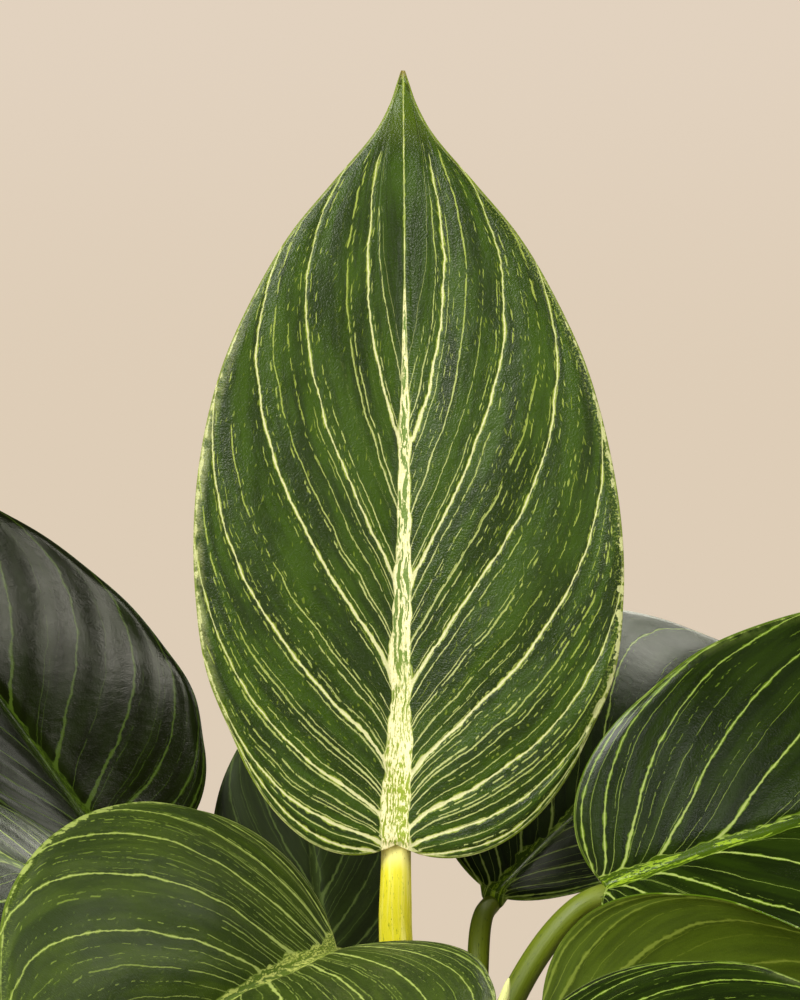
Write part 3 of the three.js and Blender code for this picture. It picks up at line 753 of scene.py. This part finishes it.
def stalk(number, leaf, look):
    """A tapering rod along the part's own curve, widened to a sheath at its foot, with a shallow groove along
    its upper side. Near its top it grows slimmer and sinks a little, then it runs on into the blade's rib and
    ends there, sunk and thinner."""
    height, heading, rise, out, back, radius = leaf["stalk"]
    _, forward, up = leaf_frame(leaf)
    rows, inner_rows = 44, 6
    root = direction(heading, 0) * STALK_ROOT_RADIUS + (0, 0, height)
    top = np.array(leaf["base"], float) - up * 0.9 * radius - forward * STALK_GAP
    path = curve_through((root, root + direction(heading, rise) * out, top - forward * back, top), rows)
    u = np.linspace(0, 1, rows)
    path = path - up * 0.3 * radius * ease(0.86, 1, u)[:, None]
    inside = np.linspace(0.25, 1, inner_rows)[:, None]
    inner = path[-1] + forward * (STALK_GAP + 7) * inside - up * 0.5 * radius * inside**0.6
    path = np.concatenate([path, inner])
    slimmer = 0.05 * ease(0.3, 0.7, u) + 0.09 * ease(0.7, 1, u)
    width = np.concatenate([1.35 - 0.35 * np.minimum(1, 3 * u) - slimmer, 0.86 - 0.36 * inside[:, 0] ** 0.7])
    width = width * radius
    share = np.concatenate([u, np.ones(inner_rows)])[:, None]
    angle = full_turn(28) + 0 * share
    upward = np.exp(-(((angle - np.pi / 2) / 0.5) ** 2))
    groove = 1 - upward * (0.07 + 0.22 * ease(0.5, 0.05, share) + 0.1 * ease(0.96, 1, share))
    section = width[:, None] * groove * (1 + 0.012 * np.sin(3 * angle + 9 * share))
    points, faces = close_rings(carry(path, up, angle, section))
    run = np.concatenate([[0], np.linalg.norm(np.diff(path, axis=0), axis=1).cumsum()])[:, None]
    marks = rod_marks(section, angle, run - run[rows - 1])
    piece = make_piece(f"birkin_stalk_{number:02d}", points, faces, [look], marks=marks)
    place_piece(piece, f"stalk_{number:02d}")


def rolled_leaf(look):
    """The unopened leaf: a slim spear along the part's own curve, whose section is a spiral with one step,
    where the outer margin lies over the turn below it."""
    path = curve_through(((2.5, -4.5, 149), (4, -8, 166), (13, -9, 178), (16.4, -9, 195.6)), 60)
    u = np.linspace(0, 1, 60)[:, None]
    angle = full_turn(48) + 0 * u
    spiral = ((angle - 1.2 - 2.2 * u) % (2 * np.pi)) / (2 * np.pi)
    taper = 2.8 * np.maximum(0.06, np.cos(np.pi / 2 * u) ** 0.5)
    section = taper * (0.93 + 0.16 * spiral**1.5 * ease(0, 0.03, spiral) * (1 - ease(0.97, 1, spiral)))
    points, faces = close_rings(carry(path, (0, -1, 0.4), angle, section))
    piece = make_piece("rolled_leaf", points, faces, [look], marks=rod_marks(section, angle, 46 * u))
    place_piece(piece, "new_leaf")


def revolve(radius, height):
    """Rings round the Z axis from radius and height grids, rows by sides."""
    angle = full_turn(radius.shape[1])
    return np.stack([radius * np.cos(angle), radius * np.sin(angle), height + 0 * radius], -1)


def profile_rings(profile, per_span, sides):
    """A profile of (radius, height) points with per_span steps between neighbours, as two grids."""
    profile = np.array(profile, float)
    at = np.linspace(0, len(profile) - 1, (len(profile) - 1) * per_span + 1)
    radius, height = (np.interp(at, np.arange(len(profile)), column)[:, None] for column in profile.T)
    return radius + np.zeros(sides), height + np.zeros(sides)


def stem(look):
    """A short thick stem with the slanting ring scars of old leaves, closed by a low dome."""
    dome = 148 + 5 * np.sin(np.linspace(0.05, np.pi / 2 - 0.08, 16))
    z = np.concatenate([np.linspace(86, 148, 110), dome])[:, None]
    angle = full_turn(64)
    width = 8.5 - 0.5 * ease(118, 134, z) - 1.0 * ease(134, 148, z)
    width = width * np.sqrt(np.clip(1 - ((z - 148) / 5.05).clip(0) ** 2, 0.01, 1))
    scars = sum(
        np.exp(-(((z - level - 1.2 * np.cos(angle - turn)) / 0.55) ** 2)) * (0.6 + 0.4 * np.cos(angle - turn))
        for level, turn in zip(np.arange(112, 150, 4.3), np.arange(9) * 2.4)
    )
    radius = width - 0.45 * scars + 0.12 * ripple(8 * np.cos(angle), z + 8 * np.sin(angle), 7, 5)
    points, faces = close_rings(revolve(radius, z))
    place_piece(make_piece("birkin_stem", points, faces, [look]), "stem")


# Pot and soil
def inner_radius(height):
    return POT_FOOT + POT_FLARE * height / POT_HEIGHT - POT_WALL


def pot(look):
    """An open tapering shell with a rounded lip and foot, turned on a wheel: faint rings round its wall."""
    lip = [(62.4 + 2.3 * np.cos(a), 119.7 + 2.3 * np.sin(a)) for a in np.linspace(0, np.pi, 13)]
    foot = [(44.5 + 2.5 * np.cos(a), 2.5 + 2.5 * np.sin(a)) for a in np.linspace(-np.pi / 2, -0.12, 7)]
    wall = [(POT_FOOT + 17.7 * share, 2.6 + 117 * share) for share in np.linspace(0.02, 0.98, 24)]
    inside = [(inner_radius(h), h) for h in np.linspace(117, 9, 18)]
    profile = [(30, 0.6), (40, 0.6), (41.5, 0), *foot, *wall, *lip, *inside, (42.6, 6.2), (40, 5), (20, 5)]
    radius, height = profile_rings(profile, 2, 160)
    outside = (np.arange(len(radius)) < 2 * (len(foot) + len(wall) + 3))[:, None]
    rings = 0.05 * np.sin(height * 1.9) + 0.04 * np.sin(height * 0.83 + 1)
    rings = rings * outside * ease(4, 12, height) * ease(118, 112, height)
    points, faces = close_rings(revolve(radius + rings, height))
    place_piece(make_piece("planter", points, faces, [look]), "pot")


def soil_height(x, y):
    """The top of the soil: a low mound round the stem, with clods of three sizes."""
    away = np.hypot(x, y)
    mound = 3 * ease(48, 10, away)
    clods = 0.9 * ripple(x, y, 17, 21) + 0.6 * ripple(x, y, 7, 22) + 0.4 * ripple(x, y, 3.6, 23)
    return SOIL_LEVEL + mound + clods * ease(57.5, 50, away) * ease(STEM_HOLE, 12, away)


def soil(look):
    """The soil's body: floor and wall inside the pot, an uneven top, and the hole that the stem fills."""
    sides = 200
    angle = full_turn(sides)
    top = np.linspace(inner_radius(SOIL_LEVEL) - 0.3, STEM_HOLE, 90)[:, None] + 0 * angle
    wall_radius, wall_height = profile_rings([(20, 5.3), (39.6, 5.3), (42.7, 8.3), (58.2, 108.5)], 3, sides)
    hole_radius, hole_height = profile_rings([(STEM_HOLE, 108), (STEM_HOLE, 85.7), (4, 85.7)], 3, sides)
    height = soil_height(top * np.cos(angle), top * np.sin(angle))
    radius = np.concatenate([wall_radius, top, hole_radius])
    points, faces = close_rings(revolve(radius, np.concatenate([wall_height, height, hole_height])))
    place_piece(make_piece("potting_soil", points, faces, [look]), "soil")


def crumbs(looks):
    """Bits of bark and a few white grains on the soil: uneven beads of 5 rings, at seeded places that keep
    clear of the stem and the pot."""
    chance = np.random.default_rng(8)
    count, rows, sides = 620, 5, 7
    away = np.sqrt(chance.uniform(12.5**2, 54.5**2, count))
    turn = chance.uniform(0, 2 * np.pi, count)
    x, y = away * np.cos(turn), away * np.sin(turn)
    size = chance.uniform(0.7, 2.3, count) ** 1.2
    middle = np.stack([x, y, soil_height(x, y) + 0.25 * size], -1)
    polar = np.linspace(0.45, np.pi - 0.45, rows)[:, None]
    bead = revolve(np.sin(polar) + np.zeros(sides), np.cos(polar))
    shapes = bead * chance.uniform(0.72, 1.2, (count, rows, sides, 1))
    stretch = chance.uniform((0.7, 0.5, 0.35), (1.5, 1.0, 0.8), (count, 3))
    shapes = shapes * (size[:, None] * stretch)[:, None, None, :]
    spin = chance.uniform(0, 2 * np.pi, count)[:, None, None]
    spun_x = shapes[..., 0] * np.cos(spin) - shapes[..., 1] * np.sin(spin)
    spun_y = shapes[..., 0] * np.sin(spin) + shapes[..., 1] * np.cos(spin)
    shapes = np.stack([spun_x, spun_y, shapes[..., 2]], -1) + middle[:, None, None, :]
    _, (quads, fans) = close_rings(shapes[0])
    each = rows * sides + 2
    poles = np.stack([shapes[:, 0].mean(1), shapes[:, -1].mean(1)], 1)
    points = np.concatenate([shapes.reshape(count, -1, 3), poles], 1).reshape(-1, 3)
    white = np.arange(count) % 9 == 0
    shift = (np.arange(count) * each)[:, None, None]
    faces, which = [], []
    for slot, chosen in enumerate((~white, white)):
        for ring in (quads, fans):
            faces.append((ring[None] + shift[chosen]).reshape(-1, ring.shape[1]))
            which.append(slot)
    place_piece(make_piece("soil_crumbs", points, faces, looks, which), None)


# Looks of the other pieces
def stalk_look(name, low, high, edge, speck, specks=0.5):
    """A stalk's skin: its colour changes along its length, pale streaks and dark green specks run with it."""
    look, w = make_look(name)
    grain = w.attribute("grain")
    run = w.parts(grain)[2]
    streaks = w.noise(w.stretch(grain, (0.9, 0.9, 0.035)), 1.0, 3.0, 0.6, flat=False)
    marks = w.noise(w.stretch(grain, (2.6, 2.6, 0.6)), 1.0, 3.0, 0.65, flat=False)
    colour = w.mix(w.step(run, -46.0, -8.0), low, high)
    colour = w.mix(w.step(run, -5.0, -0.5, 0.0, 0.8), colour, edge)
    colour = w.mix(w.step(streaks, 0.46, 0.68, 0.0, 0.4), colour, edge)
    colour = w.mix(w.step(marks, 0.6, 0.68, 0.0, specks), colour, speck)
    height = w.plus(streaks, w.times(marks, 0.4))
    w.finish(colour, w.line(streaks, 0.3, 0.7, 0.42, 0.56), height, 0.12, gloss=0.3)
    return look


def stem_look():
    """Two streaky greens with brown flecks, browner towards the soil."""
    look, w = make_look("stem skin")
    place = w.millimetres()
    height = w.parts(place)[2]
    streaks = w.noise(w.stretch(place, (0.7, 0.7, 0.12)), 1.0, 4.0, 0.65, flat=False)
    fine = w.noise(w.stretch(place, (1.0, 1.0, 3.0)), 0.6, 3.0, 0.6, flat=False)
    colour = w.mix(w.step(streaks, 0.35, 0.7), (62, 78, 30), (116, 124, 58))
    colour = w.mix(w.step(fine, 0.52, 0.7, 0.0, 0.6), colour, (104, 84, 52))
    colour = w.mix(w.step(height, 128.0, 110.0, 0.0, 0.75), colour, (88, 70, 46))
    w.finish(colour, w.line(fine, 0.3, 0.7, 0.5, 0.75), w.plus(streaks, fine), 0.35)
    return look


def soil_look(name, dark, light, wave):
    """Damp peat or bark: two browns in clumps, with a rough fibrous surface."""
    look, w = make_look(name)
    place = w.millimetres()
    clumps = w.noise(place, wave, 4.0, 0.7, flat=False)
    grit = w.noise(place, wave * 7, 3.0, 0.7, flat=False)
    colour = w.mix(w.step(clumps, 0.35, 0.68), dark, light)
    colour = w.mix(w.step(grit, 0.45, 0.7, 0.0, 0.5), colour, dark)
    w.finish(colour, w.line(grit, 0.3, 0.7, 0.78, 0.98), w.plus(clumps, grit), 0.8)
    return look


def pot_look():
    """Matt off-white stoneware: a slightly cloudy glaze with sparse iron specks."""
    look, w = make_look("stoneware")
    place = w.millimetres()
    cloud = w.noise(place, 0.03, 3.0, 0.6, flat=False)
    grain = w.noise(place, 1.6, 3.0, 0.6, flat=False)
    specks = w.node("TexVoronoi", {"Vector": place, "Scale": 0.42}, feature="F1")
    size = w.line(w.node("SeparateColor", {0: specks.outputs["Color"]}).outputs[0], 0.6, 1.0, 0.0, 0.19)
    iron = w.step(w.minus(specks.outputs["Distance"], size), -0.03, 0.02, 0.75, 0.0)
    colour = w.mix(w.step(cloud, 0.3, 0.7), (226, 218, 204), (236, 230, 219))
    colour = w.mix(iron, colour, (120, 92, 66))
    height = w.plus(w.times(cloud, 3.0), w.times(grain, 0.35))
    w.finish(colour, w.line(grain, 0.3, 0.7, 0.42, 0.6), height, 0.35)
    return look


def studio_look():
    """Beige paper, lit as it is near the plant. Further off the camera sees one even tone."""
    look, w = make_look("studio paper")
    shader = look.node_tree.nodes["Principled BSDF"]
    place = w.node("TexCoord").outputs["Object"]
    x, y, z = w.parts(place)
    away = w.math("SQRT", w.plus(w.times(x, x), w.times(y, y)))
    w.put(shader.inputs["Base Color"], w.mix(w.noise(place, 0.8, 1.0), (196, 180, 162), (200, 184, 166)))
    shader.inputs["Roughness"].default_value = 0.9
    far = w.times(w.step(away, 0.3, 0.95), w.node("LightPath").outputs["Is Camera Ray"])
    even = w.mix(w.step(z, 0.0, 0.8), (222, 205, 183), (226, 210, 191))
    tone = w.node("Emission", {"Color": even, "Strength": 1.0})
    mixed = w.node("MixShader", {0: far, 1: shader.outputs[0], 2: tone.outputs[0]})
    w.put(look.node_tree.nodes["Material Output"].inputs["Surface"], mixed.outputs[0])
    return look


# Camera, light and studio
def camera():
    """It looks 4 degrees downwards, from 750 mm away, at a place 4 pixels right of the tall blade's base and
    345 above it. The scale there is 773 pixels for the blade's 150 mm, in a frame 1000 pixels high."""
    pixel = 150 / 773
    sensor, distance, frame_height = 36, 750, 1000
    pitch = math.radians(4)
    ahead = np.array([0, math.cos(pitch), -math.sin(pitch)])
    up = np.array([0, math.sin(pitch), math.cos(pitch)])
    target = np.array(LEAVES[0]["base"]) + np.array([1, 0, 0]) * 4 * pixel + up * 345 * pixel
    lens = bpy.data.cameras.new("camera")
    lens.sensor_width, lens.sensor_fit = sensor, "AUTO"
    lens.lens = sensor * distance / pixel / frame_height
    lens.clip_start, lens.clip_end = 0.05, 60
    eye = add_object("camera", lens)
    eye.location = (target - distance * ahead) * MM
    eye.rotation_euler = (math.pi / 2 - pitch, 0, 0)
    bpy.context.scene.camera = eye


def soft_light(name, place, target, size, power, colour=(1, 1, 1)):
    """A square soft light in metres, turned to its target and unseen by the camera itself."""
    light = bpy.data.lights.new(name, "AREA")
    light.shape, light.size, light.energy, light.color = "SQUARE", size, power, colour
    lamp = add_object(name, light)
    way = np.array(target, float) - np.array(place, float)
    lamp.location = place
    tilt, turn = math.acos(-way[2] / np.linalg.norm(way)), math.atan2(way[1], way[0]) - math.pi / 2
    lamp.rotation_euler = (tilt, 0, turn)
    lamp.visible_camera = False


def studio(look):
    """A round sweep of paper: a flat floor that curves up into a low wall, all round the plant."""
    sides = 128
    turn = np.linspace(0, np.pi / 2, 14)
    radius = np.concatenate([[0.3, 1, 2, 3.5, 5], 5 + 1.8 * np.sin(turn[1:]), [6.8, 6.8]])[:, None]
    height = np.concatenate([[0] * 5, 1.8 * (1 - np.cos(turn[1:])), [2.4, 3]])[:, None]
    rings = revolve(radius + np.zeros(sides), height) * 1000
    ids = np.arange(rings.shape[0] * sides).reshape(-1, sides)
    quads = grid_faces(np.concatenate([ids, ids[:, :1]], 1))[:, ::-1]
    centre = np.full(sides, ids.size)
    fan = np.stack([centre, ids[0], np.roll(ids[0], -1)], -1)
    points = np.concatenate([rings.reshape(-1, 3), [[0, 0, 0]]])
    make_piece("studio_sweep", points, [quads, fan], [look])


def light_studio():
    """A dim even sky, a window and a fill in front, two small sheens, and three warm lights behind."""
    scene = bpy.context.scene
    scene.view_settings.view_transform = "Standard"
    world = bpy.data.worlds.new("studio light")
    world.use_nodes = True
    scene.world = world
    sky = world.node_tree.nodes["Background"]
    sky.inputs[0].default_value = paint(236, 226, 214)
    sky.inputs[1].default_value = 0.1
    soft_light("window on the left", (-0.8, -0.9, 1.1), (0, 0, 0.25), 0.7, 32, (1, 0.98, 0.95))
    soft_light("fill on the right", (1.1, -0.8, 0.8), (0, 0, 0.2), 0.8, 12, (1, 0.98, 0.96))
    soft_light("sheen from over the camera", (0.04, -1.25, 0.45), (0, 0, 0.28), 0.2, 1.3, (1, 0.99, 0.97))
    soft_light("sheen from the left", (-0.47, -1.15, 0.6), (0, 0, 0.28), 0.2, 2.0, (1, 0.99, 0.97))
    soft_light("high behind", (0.17, 0.5, 1.24), (-0.07, 0.08, 0.25), 0.2, 2.4, (1, 0.96, 0.82))
    soft_light("low behind", (0.6, 0.85, 0.85), (0, 0, 0.22), 0.3, 1.4, (1, 0.99, 0.86))
    soft_light("far low behind", (0.3, 1.15, 0.62), (0, 0, 0.22), 0.3, 1.2, (1, 0.99, 0.86))


TALL_FACE = blade_look(
    "tall blade face", (238, 230, 176), (200, 200, 148), (136, 154, 46), (31, 47, 5),
    (48, 71, 5), (96, 122, 60), Bold=1.15,
)
TALL_BACK = blade_look(
    "tall blade underside", (206, 210, 130), (176, 188, 100), (136, 156, 56), (72, 96, 34),
    (88, 116, 36), (96, 122, 60), roughness=0.45, wrinkles=0.15,
    Bold=1.2, Fine=0.8, Flecks=0.4,
)
CLEAR_FACE = blade_look(
    "clear striped face", (128, 156, 16), (152, 166, 90), (92, 120, 18), (19, 30, 4),
    (30, 45, 5), (30, 48, 5), roughness=0.24, wrinkles=0.12, gloss=0.15, ridge=0.1,
    Bold=0.64, Fine=0.3, Flecks=0.12, Band=0.55, Rim=0.4, Islands=0.16,
)
SOFT_FACE = blade_look(
    "soft striped face", (200, 208, 108), (170, 184, 100), (108, 130, 38), (38, 54, 9),
    (56, 74, 12), (84, 108, 34), roughness=0.42, wrinkles=0.14, gloss=0.12, ridge=0.1,
    Bold=1.05, Fine=0.8, Flecks=0.5, Band=0.75, Islands=0.06,
)
SHADED_FACE = blade_look(
    "shaded face", (60, 76, 26), (74, 88, 42), (52, 68, 22), (24, 33, 8),
    (34, 46, 12), (38, 50, 14), roughness=0.45, wrinkles=0.1, gloss=0.3, ridge=0.1,
    Bold=0.8, Fine=0.4, Flecks=0.1, Band=0.55, Rim=0.3, Islands=0.1,
)
# Blade 3's face: its greens and markings darkened all over as painted shade, for a blade that faces away from
# the lights, with little gloss.
SHADE_PAINTED_FACE = blade_look(
    "face darkened as painted shade", (50, 68, 10), (57, 74, 22), (37, 51, 7), (12, 17, 2),
    (19, 27, 4), (26, 38, 6), roughness=0.19, wrinkles=0.1, gloss=0.05, ridge=0.1,
    Bold=1.15, Fine=0.4, Flecks=0.1, Band=0.55, Rim=0.3, Islands=0.1,
)
PALE_BACK = blade_look(
    "blade underside", (108, 122, 40), (106, 122, 42), (82, 98, 20), (54, 70, 9),
    (66, 84, 12), (72, 92, 20), roughness=0.45, wrinkles=0.12, ridge=0.1,
    Bold=1.4, Fine=0.4, Flecks=0.1, Band=0.9, Rim=0.6,
)
FACES = {1: TALL_FACE, 2: SOFT_FACE, 3: SHADE_PAINTED_FACE, 5: SHADED_FACE}

camera()
studio(studio_look())
light_studio()
tall_stalk = stalk_look(
    "tall stalk skin", (190, 188, 4), (204, 198, 34), (230, 224, 140), (112, 126, 14), specks=0.75
)
green_stalk = stalk_look(
    "green stalk skin", (66, 82, 3), (92, 106, 12), (112, 124, 40), (44, 64, 6), specks=0.7
)
for number, leaf in enumerate(LEAVES, 1):
    tallest = number == 1
    size = (150, 52) if tallest else (84, 36)
    looks = [FACES.get(number, CLEAR_FACE), TALL_BACK if tallest else PALE_BACK]
    blade(number, leaf, *size, TALL_VEINS if tallest else COMMON_VEINS, looks)
    stalk(number, leaf, tall_stalk if tallest else green_stalk)
stem(stem_look())
rolled_leaf(stalk_look("rolled leaf skin", (150, 170, 60), (196, 206, 96), (222, 226, 150), (104, 136, 46)))
pot(pot_look())
soil(soil_look("potting soil", (34, 24, 17), (64, 47, 33), 0.22))
crumbs([soil_look("bark bits", (44, 30, 20), (94, 68, 45), 0.3),
        soil_look("white grains", (196, 190, 178), (232, 228, 220), 0.5)])
